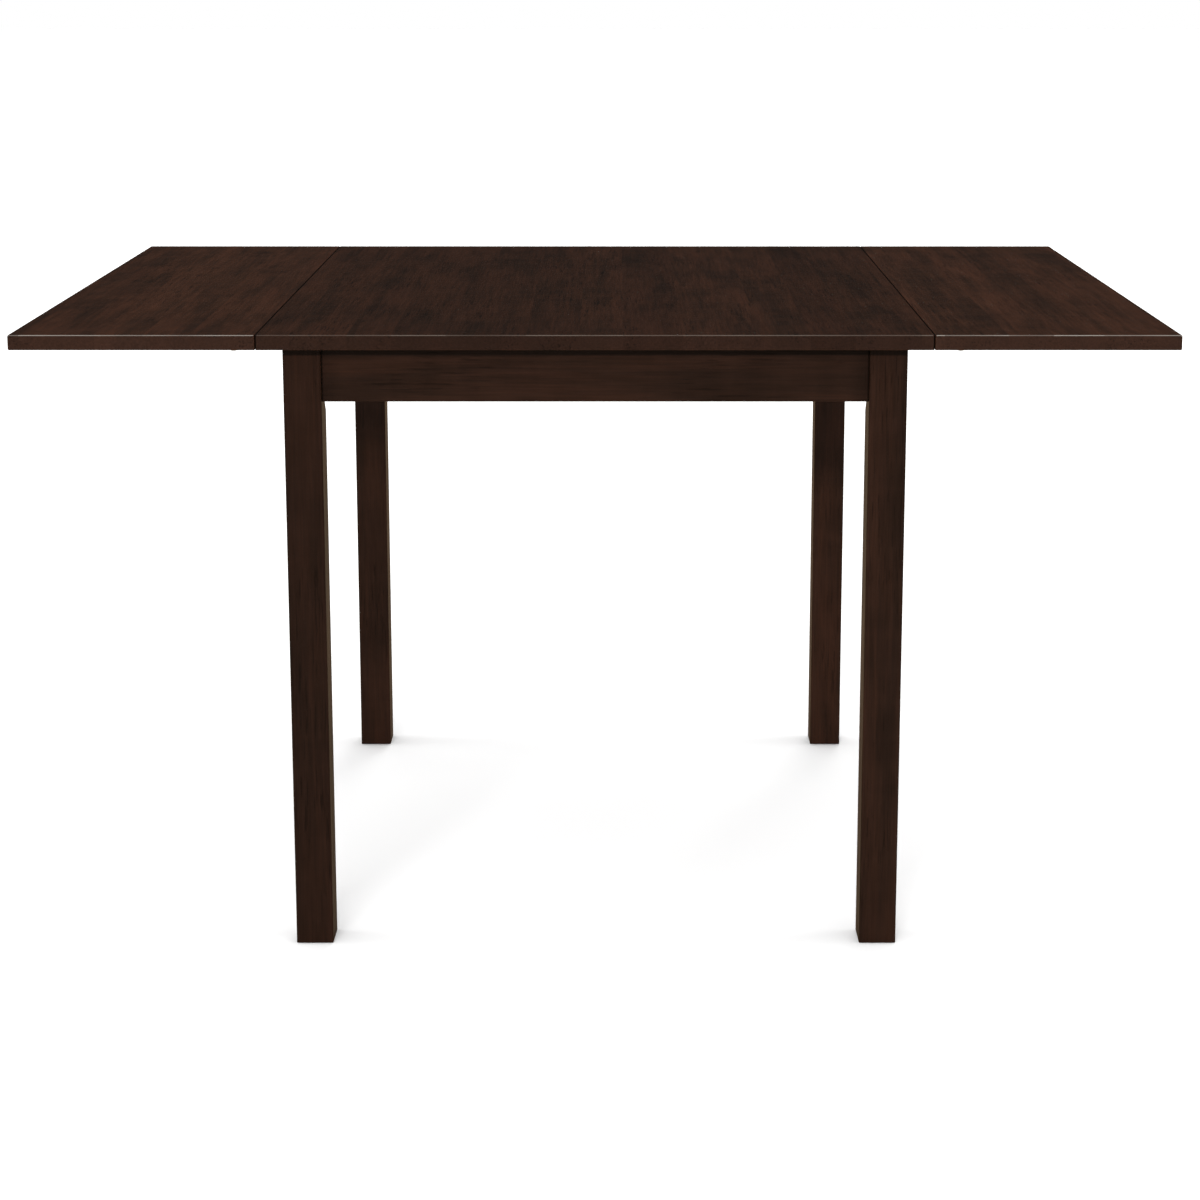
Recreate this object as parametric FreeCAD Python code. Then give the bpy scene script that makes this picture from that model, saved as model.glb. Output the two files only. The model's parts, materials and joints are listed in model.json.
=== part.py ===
import FreeCAD, Part
import math
import os

# A drop-leaf dining table with both leaves up. Sizes are millimetres. X runs from leaf to leaf,
# the front is at -Y, and the floor is at Z = 0 under the middle of the table.

# The table top: a fixed centre board and a leaf hinged to each of its ends.
table_height = 762.0
top_thickness = 18.0
top_depth = 902.0
centre_length = 788.0
leaf_length = 287.0
seam_gap = 0.8
top_edge_round = 2.5
under_edge_bevel = 0.8
seam_edge_bevel = 0.6
leaf_corner_round = 3.0

# Legs and the aprons between them.
leg_side = 45.0
leg_inset_side = 26.0
leg_inset_front = 37.0
leg_edge_round = 2.0
leg_flat = 16.0
leg_flat_height = 87.0
leg_flat_runout = 19.0
apron_height = 68.0
apron_thickness = 20.0
apron_setback = 4.5
apron_edge_bevel = 1.0

# Glides nailed into the feet.
glide_radius = 10.0
glide_thickness = 4.0
glide_proud = 1.0
glide_edge = 0.8
glide_fit = 0.2
nail_radius = 1.25
nail_length = 14.0

# Corner blocks, each with the hanger bolt that draws its leg against two aprons.
block_thickness = 22.0
block_height = 50.0
block_gap = 4.0
bolt_radius = 4.0
bolt_embed = 34.0
bolt_tail = 5.0
bolt_tip = 5.0
bolt_fit = 0.05
block_bolt_fit = 0.5
washer_radius = 10.0
washer_thickness = 1.6
nut_radius = 7.5
nut_height = 6.5

# Long screws hold the blocks to the aprons and the top to the frame.
long_screw = {"shank": 2.0, "head": 3.9, "head_height": 2.2, "length": 30.0, "point": 1.0}
long_screw_bite = 11.0
block_screw_seat = 13.0
block_top_screw_offset = 10.0
apron_screw_share = 0.3

# Short screws hold the hinges and the stay brackets.
short_screw = {"shank": 1.7, "head": 3.2, "head_height": 1.6, "length": 14.0, "point": 0.8}
screw_fit = 0.05

# Hinges under the seam. The pin lies just below the boards, so the leaf swings clear of the centre.
hinge_from_end = 151.0
hinge_width = 60.0
hinge_drop = 3.0
hinge_plate = 1.6
hinge_corner = 3.0
frame_plate_length = 24.0
leaf_plate_length = 38.0
knuckle_radius = 2.8
knuckle_gap = 0.2
knuckle_relief = 0.3
knuckle_grip = 1.2
knuckles = 3
pin_radius = 1.5
pin_fit = 0.05
pin_head_radius = 2.3
pin_head = 0.8
frame_plate_hole_shares = ((0.6, -0.33), (0.6, 0.33))
leaf_plate_hole_shares = ((0.32, -0.33), (0.78, 0.0), (0.32, 0.33))

# Folding stays. The four pivots of a stay are the hinge pin, a pivot on the apron, the knuckle
# and a pivot under the leaf. They form a parallelogram, so the long arm turns with the leaf.
stay_from_middle = 120.0
apron_pivot_back = 16.0
apron_pivot_drop = 28.0
leaf_pivot_inset = 92.0
leaf_pivot_drop = 8.0
strap_thickness = 2.5
strap_radius = 7.0
stay_play = 0.2
link_head_radius = 13.0
rivet_radius = 3.0
rivet_fit = 0.05
rivet_head_radius = 4.8
rivet_head = 1.4
rivet_head_play = 0.1
bracket_ear_radius = 8.0
bracket_width = 26.0
bracket_height = 46.0
bracket_length = 42.0
bracket_corner = 3.0
bracket_foot = 1.25
bracket_screw_inset = 8.0

# The catch: a flat spring on the long arm, whose stud drops into the link when the leaf is up. One
# rivet holds it, and the stud in its hole keeps it in line.
catch_thickness = 0.8
catch_radius = 4.5
catch_stud_radius = 2.0
catch_stud_reach = 9.5
catch_stud_fit = 0.15
catch_root = 42.0
catch_rivet_radius = 1.6
catch_rivet_head_radius = 2.8
catch_tab = 7.0
catch_tab_length = 10.0

# Small rounds have a few flat sides, and a rivet or pin head narrows to a share of its radius.
round_sides = 12
shaft_sides = 8
screw_sides = 6
tab_sides = 4
head_taper_share = 0.7

# One overrun serves every cut, and one small distance tells which edges lie in a plane.
overrun = 2.0
touch = 0.001

# Places that follow from the sizes above.
underside = table_height - top_thickness
top_half = top_depth / 2
centre_half = centre_length / 2
leg_outer_x = centre_half - leg_inset_side
leg_outer_y = top_half - leg_inset_front
leg_inner_x = leg_outer_x - leg_side
leg_inner_y = leg_outer_y - leg_side
apron_inner_x = leg_outer_x - apron_setback - apron_thickness
apron_inner_y = leg_outer_y - apron_setback - apron_thickness
apron_low = underside - apron_height
axis_x = centre_half + seam_gap / 2
axis_z = underside - hinge_drop
hinge_y = top_half - hinge_from_end
up = FreeCAD.Vector(0, 0, 1)
along_x = FreeCAD.Vector(1, 0, 0)
along_y = FreeCAD.Vector(0, 1, 0)
origin = FreeCAD.Vector(0, 0, 0)
sides = {"left": -1, "right": 1}
ends = {"front": -1, "back": 1}


def slab(x_low, x_high, y_low, y_high, z_low, z_high):
    corner = FreeCAD.Vector(x_low, y_low, z_low)
    return Part.makeBox(x_high - x_low, y_high - y_low, z_high - z_low, corner)


def quadrant(shape, side, end):
    """The right-hand rear copy of a shape, mirrored to the side and end that are asked for."""
    if side < 0:
        shape = shape.mirror(origin, along_x)
    if end < 0:
        shape = shape.mirror(origin, along_y)
    return shape


def at_each_end(shapes):
    return [quadrant(shape, 1, end) for end in ends.values() for shape in shapes]


def at_each_corner(shapes):
    return [quadrant(shape, side, 1) for side in sides.values() for shape in at_each_end(shapes)]


def lies_at(edge, axis, place):
    """True where an edge lies in the plane that crosses an axis at a place."""
    bounds = edge.BoundBox
    low = getattr(bounds, axis + "Min")
    high = getattr(bounds, axis + "Max")
    return abs(low - place) < touch and abs(high - place) < touch


def rounded(shape, radius, chosen):
    return shape.makeFillet(radius, [edge for edge in shape.Edges if chosen(edge)])


def bevelled(shape, size, chosen):
    return shape.makeChamfer(size, [edge for edge in shape.Edges if chosen(edge)])


def less(shape, cutters):
    return shape.cut(Part.makeCompound(cutters))


def joined(shapes):
    return shapes[0].multiFuse(shapes[1:]).removeSplitter()


def polygon(points):
    return Part.Face(Part.makePolygon(points + points[:1]))


def stacked(rings):
    """A solid with flat sides through rings of points, all with as many points."""
    faces = [polygon(rings[0]), polygon(rings[-1])]
    for near, far in zip(rings, rings[1:]):
        for i in range(len(near)):
            faces.append(polygon([near[i - 1], near[i], far[i], far[i - 1]]))
    return Part.makeSolid(Part.makeShell(faces)).removeSplitter()


def shaft(outline, side_count, start, direction):
    """A turned form with flat sides, from (distance, radius) pairs. Its corners lie on the radii."""
    turns = [2 * math.pi * i / side_count for i in range(side_count)]
    form = stacked([[FreeCAD.Vector(radius * math.cos(a), radius * math.sin(a), distance) for a in turns]
                    for distance, radius in outline])
    form.Placement = FreeCAD.Placement(start, FreeCAD.Rotation(up, direction))
    return form


def bore(outline, side_count, start, direction):
    """The same form as a hole. Its flats lie on the radii, so a shaft can turn in it."""
    to_corner = 1 / math.cos(math.pi / side_count)
    wider = [(distance, radius * to_corner) for distance, radius in outline]
    return shaft(wider, side_count, start, direction)


def cross_bore(place, radius, y_low, y_high):
    """A plain hole along Y at a place (x, z)."""
    start = FreeCAD.Vector(place[0], y_low, place[1])
    return bore([(0, radius), (y_high - y_low, radius)], shaft_sides, start, along_y)


def screw(size, point, direction, fit=0.0, above=overrun):
    """A countersunk screw, its flat face at the point. With a fit it is the hole for that screw,
    which reaches a distance above the head."""
    outline = [(0, size["head"]), (size["head_height"], size["shank"]), (size["length"], size["point"])]
    if not fit:
        return shaft(outline, screw_sides, point, direction)
    wider = [(-above, size["head"] + fit)] + [(distance + fit, radius + fit) for distance, radius in outline]
    return bore(wider, screw_sides, point, direction)


def tangent_turn(first, second):
    """The direction from either centre to its end of the outer tangent of two circles."""
    (x1, z1, r1), (x2, z2, r2) = first, second
    apart = math.hypot(x2 - x1, z2 - z1)
    ux, uz = (x2 - x1) / apart, (z2 - z1) / apart
    lean = (r1 - r2) / apart
    square = math.sqrt(1 - lean * lean)
    return math.atan2(uz * lean - ux * square, ux * lean + uz * square)


def strap(circles, y_low, y_high, side_count=round_sides):
    """A plate round some circles (x, z, radius), taken anticlockwise, upright in the XZ plane."""
    count = len(circles)
    turns = [tangent_turn(circles[i], circles[(i + 1) % count]) for i in range(count)]
    outline = []
    for i, (x, z, radius) in enumerate(circles):
        swing = (turns[i] - turns[i - 1]) % (2 * math.pi)
        steps = math.ceil(swing * side_count / (2 * math.pi))
        for k in range(steps + 1):
            a = turns[i - 1] + swing * k / steps
            outline.append(FreeCAD.Vector(x + radius * math.cos(a), y_low, z + radius * math.sin(a)))
    return polygon(outline).extrude(along_y * (y_high - y_low))


# The boards of the top.

def centre_board():
    board = slab(-centre_half, centre_half, -top_half, top_half, underside, table_height)

    def at_front_or_back(edge):
        return lies_at(edge, "Y", -top_half) or lies_at(edge, "Y", top_half)

    def at_seam(edge):
        return lies_at(edge, "X", -centre_half) or lies_at(edge, "X", centre_half)

    board = rounded(board, top_edge_round,
                    lambda edge: lies_at(edge, "Z", table_height) and at_front_or_back(edge))
    board = bevelled(board, under_edge_bevel,
                     lambda edge: lies_at(edge, "Z", underside) and at_front_or_back(edge))
    return bevelled(board, seam_edge_bevel, at_seam)


def leaf_board():
    near = axis_x + seam_gap / 2
    far = near + leaf_length
    board = slab(near, far, -top_half, top_half, underside, table_height)
    board = rounded(board, leaf_corner_round,
                    lambda edge: lies_at(edge, "X", far) and edge.BoundBox.ZLength > touch)
    board = rounded(board, top_edge_round,
                    lambda edge: lies_at(edge, "Z", table_height) and not lies_at(edge, "X", near))
    board = bevelled(board, under_edge_bevel,
                     lambda edge: lies_at(edge, "Z", underside) and not lies_at(edge, "X", near))
    return bevelled(board, seam_edge_bevel, lambda edge: lies_at(edge, "X", near))


# Legs, glides and aprons.

def leg_corner(flat, height):
    """A triangle that takes a flat of some width off the leg's inner corner, at a height."""
    near = FreeCAD.Vector(leg_inner_x - overrun, leg_inner_y - overrun, height)
    reach = flat + 2 * overrun
    return [near, near + along_x * reach, near + along_y * reach]


def leg():
    """The right-hand rear leg. Its bolt draws against a planed inner corner, which runs out in a
    slope below the aprons."""
    foot = glide_proud
    post = slab(leg_inner_x, leg_outer_x, leg_inner_y, leg_outer_y, foot, underside)
    post = rounded(post, leg_edge_round, lambda edge: edge.BoundBox.ZLength > leg_side)
    flat_low = underside - leg_flat_height
    planed = [leg_corner(0, flat_low), leg_corner(leg_flat, flat_low + leg_flat_runout),
              leg_corner(leg_flat, underside + overrun)]
    radius = glide_radius + glide_fit
    outline = [(0, radius), (glide_thickness - foot + overrun, radius)]
    recess = bore(outline, round_sides, foot_centre(foot - overrun), up)
    radius = nail_radius + bolt_fit
    nail_hole = bore([(0, radius), (nail_length, radius)], screw_sides, foot_centre(glide_thickness), up)
    return less(post, [stacked(planed), recess, nail_hole, bolt_hole()])


def foot_centre(height):
    return FreeCAD.Vector(leg_outer_x - leg_side / 2, leg_outer_y - leg_side / 2, height)


def glide():
    outline = [(0, glide_radius - glide_edge), (glide_edge, glide_radius), (glide_thickness, glide_radius)]
    disc = shaft(outline, round_sides, foot_centre(0), up)
    outline = [(0, nail_radius), (nail_length - bolt_fit, nail_radius)]
    return joined([disc, shaft(outline, screw_sides, foot_centre(glide_thickness), up)])


def long_apron():
    """The rear apron, along X."""
    outer = leg_outer_y - apron_setback
    board = slab(-leg_inner_x, leg_inner_x, apron_inner_y, outer, apron_low, underside)
    board = bevelled(board, apron_edge_bevel,
                     lambda edge: lies_at(edge, "Z", apron_low) and edge.BoundBox.XLength > leg_side)
    holes = [top_screw(spot, screw_fit) for spot in long_apron_screws()]
    holes += [quadrant(block_screw(along_y, screw_fit), side, 1) for side in sides.values()]
    return less(board, holes)


def side_apron():
    """The right-hand apron, along Y, which carries the brackets of two stays."""
    outer = leg_outer_x - apron_setback
    board = slab(apron_inner_x, outer, -leg_inner_y, leg_inner_y, apron_low, underside)
    board = bevelled(board, apron_edge_bevel,
                     lambda edge: lies_at(edge, "Z", apron_low) and edge.BoundBox.YLength > leg_side)
    return less(board, at_each_end([block_screw(along_x, screw_fit)] + apron_bracket_screws(screw_fit)))


# Screws from the frame up into the top, each in a deep hole.

def long_apron_screws():
    middle = apron_inner_y + apron_thickness / 2
    return [FreeCAD.Vector(sign * 2 * leg_inner_x * apron_screw_share, middle, 0) for sign in (-1, 1)]


def top_screw(spot, fit=0.0):
    """A screw up into the centre board, or its hole, which is open below the aprons and blocks."""
    head = underside + long_screw_bite - long_screw["length"]
    return screw(long_screw, FreeCAD.Vector(spot.x, spot.y, head), up, fit, head - apron_low + overrun)


def top_screws(fit=0.0):
    """Every screw into the centre board: one in each block, and two in each long apron."""
    pieces = at_each_corner([top_screw(block_top_screw_spot(), fit)])
    return pieces + at_each_end([top_screw(spot, fit) for spot in long_apron_screws()])


# Corner blocks. Distances along the block's bolts are measured inward from where the inner faces
# of the two aprons meet, and widths along the aprons are that distance times the root of two.

diagonal = FreeCAD.Vector(1, 1, 0).normalize()
slant = math.sqrt(2)
leg_flat_at = (2 * (leg_side - apron_setback - apron_thickness) - leg_flat) / slant
block_outer_at = leg_flat_at + block_gap
block_inner_at = block_outer_at + block_thickness
block_low = underside - block_height
block_middle = underside - block_height / 2


def on_diagonal(inward):
    return FreeCAD.Vector(apron_inner_x, apron_inner_y, block_middle) - diagonal * inward


def bolt_hole():
    radius = bolt_radius + bolt_fit
    outline = [(0, radius), (bolt_embed + overrun + bolt_fit, radius)]
    return bore(outline, shaft_sides, on_diagonal(leg_flat_at + overrun), diagonal)


def hanger_bolt():
    outside = block_gap + block_thickness + washer_thickness + nut_height + bolt_tail
    length = outside + bolt_embed
    outline = [(0, bolt_radius), (length - bolt_tip, bolt_radius), (length, bolt_radius / 3)]
    return shaft(outline, shaft_sides, on_diagonal(leg_flat_at + outside), diagonal)


def washer():
    start = on_diagonal(block_inner_at + washer_thickness)
    disc = shaft([(0, washer_radius), (washer_thickness, washer_radius)], round_sides, start, diagonal)
    hole_radius = bolt_radius + block_bolt_fit
    return disc.cut(bore([(0, hole_radius), (washer_thickness, hole_radius)], shaft_sides, start, diagonal))


def nut():
    start = on_diagonal(block_inner_at + washer_thickness + nut_height)
    blank = shaft([(0, nut_radius), (nut_height, nut_radius)], screw_sides, start, diagonal)
    hole_radius = bolt_radius + bolt_fit
    return blank.cut(bore([(0, hole_radius), (nut_height, hole_radius)], shaft_sides, start, diagonal))


def block_screw(direction, fit=0.0):
    """A screw through the thin end of a corner block into the apron that it points at."""
    inner = block_inner_at * slant
    across = inner - block_screw_seat - long_screw["head"]
    if direction is along_y:
        head = FreeCAD.Vector(apron_inner_x - across, apron_inner_y - block_screw_seat, block_middle)
    else:
        head = FreeCAD.Vector(apron_inner_x - block_screw_seat, apron_inner_y - across, block_middle)
    return screw(long_screw, head, direction, fit, inner)


def block_top_screw_spot():
    middle = on_diagonal((block_outer_at + block_inner_at) / 2)
    return middle + FreeCAD.Vector(-block_top_screw_offset, block_top_screw_offset, 0)


def corner_block():
    """The right-hand rear corner block, a short board across the corner with mitred ends."""
    outer = block_outer_at * slant
    inner = block_inner_at * slant
    plan = [(outer, 0), (inner, 0), (0, inner), (0, outer)]
    points = [FreeCAD.Vector(apron_inner_x - u, apron_inner_y - v, block_low) for u, v in plan]
    block = polygon(points).extrude(up * block_height)
    radius = bolt_radius + block_bolt_fit
    outline = [(0, radius), (block_thickness + 2 * overrun, radius)]
    cutters = [bore(outline, shaft_sides, on_diagonal(block_inner_at + overrun), diagonal)]
    cutters += [block_screw(direction, screw_fit) for direction in (along_x, along_y)]
    return less(block, cutters + [top_screw(block_top_screw_spot(), screw_fit)])


# Hinges. Each is two plates let onto the underside, with the knuckles of both on one pin.

hinge_low = hinge_y - hinge_width / 2
hinge_high = hinge_y + hinge_width / 2


def knuckle_span(index, shrink):
    pitch = hinge_width / knuckles
    low = hinge_low + index * pitch
    return low + shrink, low + pitch - shrink


def knuckle_ring(index):
    low, high = knuckle_span(index, knuckle_gap / 2)
    start = FreeCAD.Vector(axis_x, low, axis_z)
    return shaft([(0, knuckle_radius), (high - low, knuckle_radius)], shaft_sides, start, along_y)


def hinge_half(length, turn, own):
    """One half of a hinge. Turn is -1 for the plate on the centre board and 1 for the leaf's."""
    far = axis_x + turn * length
    reach = sorted((axis_x + turn * knuckle_grip, far))
    plate = slab(reach[0], reach[1], hinge_low, hinge_high, underside - hinge_plate, underside)
    plate = bevelled(plate, hinge_corner,
                     lambda edge: lies_at(edge, "X", far) and edge.BoundBox.ZLength > touch)
    half = joined([plate] + [knuckle_ring(i) for i in own])
    clear = knuckle_radius + knuckle_relief
    cutters = [cross_bore((axis_x, axis_z), pin_radius + pin_fit, hinge_low - overrun, hinge_high + overrun)]
    for i in range(knuckles):
        if i not in own:
            low, high = knuckle_span(i, -knuckle_gap / 2)
            cutters.append(slab(axis_x - clear, axis_x + clear, max(low, hinge_low - overrun), high,
                                axis_z - clear, underside + overrun))
    return less(half, cutters)


def hinge_screws(length, turn, hole_shares, fit=0.0):
    spots = [FreeCAD.Vector(axis_x + turn * share_x * length, hinge_y + share_y * hinge_width,
                            underside - hinge_plate) for share_x, share_y in hole_shares]
    return [screw(short_screw, spot, up, fit) for spot in spots]


def frame_hinge_screws(fit=0.0):
    return hinge_screws(frame_plate_length, -1, frame_plate_hole_shares, fit)


def leaf_hinge_screws(fit=0.0):
    return hinge_screws(leaf_plate_length, 1, leaf_plate_hole_shares, fit)


def hinge_frame_plate():
    return less(hinge_half(frame_plate_length, -1, (0, knuckles - 1)), frame_hinge_screws(screw_fit))


def hinge_leaf_plate():
    return less(hinge_half(leaf_plate_length, 1, range(1, knuckles - 1)), leaf_hinge_screws(screw_fit))


def headed_pin(place, radius, head_radius, head, low, high):
    """A rivet or pin along Y at a place (x, z), with a tapered head past each end of its grip."""
    grip = high - low
    top = head_radius * head_taper_share
    outline = [(-head, top), (0, head_radius), (0, radius),
               (grip, radius), (grip, head_radius), (grip + head, top)]
    return shaft(outline, shaft_sides, FreeCAD.Vector(place[0], low, place[1]), along_y)


def hinge_pin():
    return headed_pin((axis_x, axis_z), pin_radius, pin_head_radius, pin_head, hinge_low, hinge_high)


# Stays. Layers along Y, outward from the middle of the table: the apron bracket's ear, the catch,
# the long arm, the link and the leaf bracket's ear, with a little play between moving faces.

arm_low = stay_from_middle
arm_high = arm_low + strap_thickness
link_low = arm_high + stay_play
link_high = link_low + strap_thickness
leaf_ear_low = link_high + stay_play
leaf_ear_high = leaf_ear_low + strap_thickness
apron_ear_high = arm_low - stay_play
apron_ear_low = apron_ear_high - strap_thickness
apron_pivot = (axis_x - apron_pivot_back, axis_z - apron_pivot_drop)
leaf_pivot = (axis_x + leaf_pivot_inset, axis_z - leaf_pivot_drop)
knuckle = (apron_pivot[0] + leaf_pivot_inset, apron_pivot[1] - leaf_pivot_drop)
arm_length = math.hypot(leaf_pivot_inset, leaf_pivot_drop)
apron_face = leg_outer_x - apron_setback


def along_arm(distance, aside=0.0):
    """A place (x, z) on the long arm, a distance from the knuckle towards the apron."""
    ux = (apron_pivot[0] - knuckle[0]) / arm_length
    uz = (apron_pivot[1] - knuckle[1]) / arm_length
    return knuckle[0] + distance * ux - aside * uz, knuckle[1] + distance * uz + aside * ux


def stay_rivet(place, low, high):
    """A pivot rivet, tight on the piece at its low end and with a little play at the other."""
    return headed_pin(place, rivet_radius, rivet_head_radius, rivet_head, low, high + rivet_head_play)


def pivot_bore(place, low, high):
    return cross_bore(place, rivet_radius + rivet_fit, low - overrun, high + overrun)


def stud_bore(low, high):
    radius = catch_stud_radius + catch_stud_fit
    return cross_bore(along_arm(catch_stud_reach), radius, low - overrun, high + overrun)


def catch_rivet_bore(low, high):
    return cross_bore(along_arm(catch_root), catch_rivet_radius + rivet_fit, low - overrun, high + overrun)


def stay_arm():
    blank = strap([apron_pivot + (strap_radius,), knuckle + (strap_radius,)], arm_low, arm_high)
    holes = [pivot_bore(place, arm_low, arm_high) for place in (apron_pivot, knuckle)]
    return less(blank, holes + [stud_bore(arm_low, arm_high), catch_rivet_bore(arm_low, arm_high)])


def stay_link():
    blank = strap([knuckle + (link_head_radius,), leaf_pivot + (strap_radius,)], link_low, link_high)
    holes = [pivot_bore(place, link_low, link_high) for place in (leaf_pivot, knuckle)]
    return less(blank, holes + [stud_bore(link_low, link_high)])


def stay_catch():
    """The catch spring with its stud, and the tab that a finger pulls to free it."""
    low = arm_low - catch_thickness
    stud_place = along_arm(catch_stud_reach)
    tongue_ends = [along_arm(catch_root) + (catch_radius,), stud_place + (catch_radius,)]
    tongue = strap(tongue_ends, low, arm_low, shaft_sides)
    stud_length = link_high - stay_play - low
    stud = shaft([(0, catch_stud_radius), (stud_length, catch_stud_radius)], shaft_sides,
                 FreeCAD.Vector(stud_place[0], low, stud_place[1]), along_y)
    edge = catch_radius - catch_thickness / 2
    tab_far = catch_stud_reach + catch_tab_length
    tab_ends = [along_arm(tab_far, edge), along_arm(catch_stud_reach + catch_thickness, edge)]
    tab = strap([place + (catch_thickness / 2,) for place in tab_ends], low - catch_tab, arm_low, tab_sides)
    return less(joined([tongue, stud, tab]), [catch_rivet_bore(low, arm_low)])


def catch_rivet():
    """A small rivet with one head on the catch spring, flush at the far face of the long arm."""
    place = along_arm(catch_root)
    grip = catch_thickness + strap_thickness
    outline = [(-catch_thickness, catch_rivet_head_radius), (0, catch_rivet_head_radius),
               (0, catch_rivet_radius), (grip, catch_rivet_radius)]
    return shaft(outline, screw_sides, FreeCAD.Vector(place[0], arm_low - catch_thickness, place[1]), along_y)


def apron_bracket():
    """An angle bracket on the apron: a plate for two screws and an ear for the long arm's pivot."""
    low = apron_pivot[1] - bracket_height / 2
    high = apron_pivot[1] + bracket_height / 2
    edge_y = apron_ear_high - bracket_width
    foot_x = apron_face + bracket_foot
    feet = [(foot_x, high - bracket_foot, bracket_foot), (foot_x, low + bracket_foot, bracket_foot)]
    ear = strap([apron_pivot + (bracket_ear_radius,)] + feet, apron_ear_low, apron_ear_high)
    plate = slab(apron_face, apron_face + strap_thickness, edge_y, apron_ear_high, low, high)
    plate = bevelled(plate, bracket_corner,
                     lambda edge: lies_at(edge, "Y", edge_y) and edge.BoundBox.XLength > touch)
    holes = [pivot_bore(apron_pivot, apron_ear_low, apron_ear_high)]
    return less(joined([plate, ear]), holes + apron_bracket_screws(screw_fit))


def apron_bracket_screws(fit=0.0):
    middle = (apron_ear_high - bracket_width + apron_ear_low) / 2
    reach = bracket_height / 2 - bracket_screw_inset
    spots = [FreeCAD.Vector(apron_face + strap_thickness, middle, apron_pivot[1] + sign * reach)
             for sign in (-1, 1)]
    return [screw(short_screw, spot, along_x * -1, fit) for spot in spots]


def leaf_bracket():
    """An angle bracket under the leaf: a plate for two screws and an ear for the link's pivot."""
    low = leaf_pivot[0] - bracket_length / 2
    high = leaf_pivot[0] + bracket_length / 2
    edge_y = leaf_ear_low + bracket_width
    foot_z = underside - bracket_foot
    feet = [(high - bracket_foot, foot_z, bracket_foot), (low + bracket_foot, foot_z, bracket_foot)]
    ear = strap([leaf_pivot + (strap_radius,)] + feet, leaf_ear_low, leaf_ear_high)
    plate = slab(low, high, leaf_ear_low, edge_y, underside - strap_thickness, underside)
    plate = bevelled(plate, bracket_corner,
                     lambda edge: lies_at(edge, "Y", edge_y) and edge.BoundBox.ZLength > touch)
    holes = [pivot_bore(leaf_pivot, leaf_ear_low, leaf_ear_high)]
    return less(joined([plate, ear]), holes + leaf_bracket_screws(screw_fit))


def leaf_bracket_screws(fit=0.0):
    middle = (leaf_ear_high + leaf_ear_low + bracket_width) / 2
    reach = bracket_length / 2 - bracket_screw_inset
    spots = [FreeCAD.Vector(leaf_pivot[0] + sign * reach, middle, underside - strap_thickness)
             for sign in (-1, 1)]
    return [screw(short_screw, spot, up, fit) for spot in spots]


# Every piece, by node name. What is made once for the right-hand rear corner is mirrored here.

def build():
    nodes = {}
    top_holes = at_each_corner(frame_hinge_screws(screw_fit)) + top_screws(screw_fit)
    nodes["centre_top"] = less(centre_board(), top_holes)
    leaf_holes = at_each_end(leaf_hinge_screws(screw_fit) + leaf_bracket_screws(screw_fit))
    leaf_side = {
        "_leaf": less(leaf_board(), leaf_holes),
        "_leaf_screws": Part.makeCompound(at_each_end(leaf_hinge_screws() + leaf_bracket_screws())),
        "_leaf_rivets": Part.makeCompound(at_each_end([stay_rivet(leaf_pivot, link_low, leaf_ear_high)])),
    }
    for side, sign in sides.items():
        nodes["apron_" + side] = quadrant(side_apron(), sign, 1)
        for name, shape in leaf_side.items():
            nodes[side + name] = quadrant(shape, sign, 1)
    for end, sign in ends.items():
        nodes["apron_" + end] = quadrant(long_apron(), 1, sign)

    single = {
        "leg": leg(),
        "corner_block": corner_block(),
        "hinge_frame_plate": hinge_frame_plate(),
        "hinge_leaf_plate": hinge_leaf_plate(),
        "stay_apron_bracket": apron_bracket(),
        "stay_leaf_bracket": leaf_bracket(),
        "stay_arm": stay_arm(),
        "stay_link": stay_link(),
        "stay_catch": stay_catch(),
        "stay_arm_rivets": Part.makeCompound([stay_rivet(knuckle, arm_low, link_high), catch_rivet()]),
    }
    for name, shape in single.items():
        for side in sides:
            for end in ends:
                nodes[name + "_" + end + "_" + side] = quadrant(shape, sides[side], ends[end])

    groups = {
        "foot_glides": [glide()],
        "hanger_bolts": [hanger_bolt()],
        "bolt_washers": [washer()],
        "bolt_nuts": [nut()],
        "hinge_pins": [hinge_pin()],
        "stay_frame_rivets": [stay_rivet(apron_pivot, apron_ear_low, arm_high)],
        "frame_hardware_screws": frame_hinge_screws() + apron_bracket_screws(),
    }
    for name, shapes in groups.items():
        nodes[name] = Part.makeCompound(at_each_corner(shapes))
    block_screws = at_each_corner([block_screw(direction) for direction in (along_x, along_y)])
    nodes["frame_screws"] = Part.makeCompound(block_screws + top_screws())
    return nodes


def main():
    os.makedirs("parts", exist_ok=True)
    for name, shape in build().items():
        shape.exportStep(os.path.join("parts", name + ".step"))


main()
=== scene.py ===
import json
import math

import bmesh
import bpy
import numpy
from mathutils import Matrix, Vector

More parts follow.
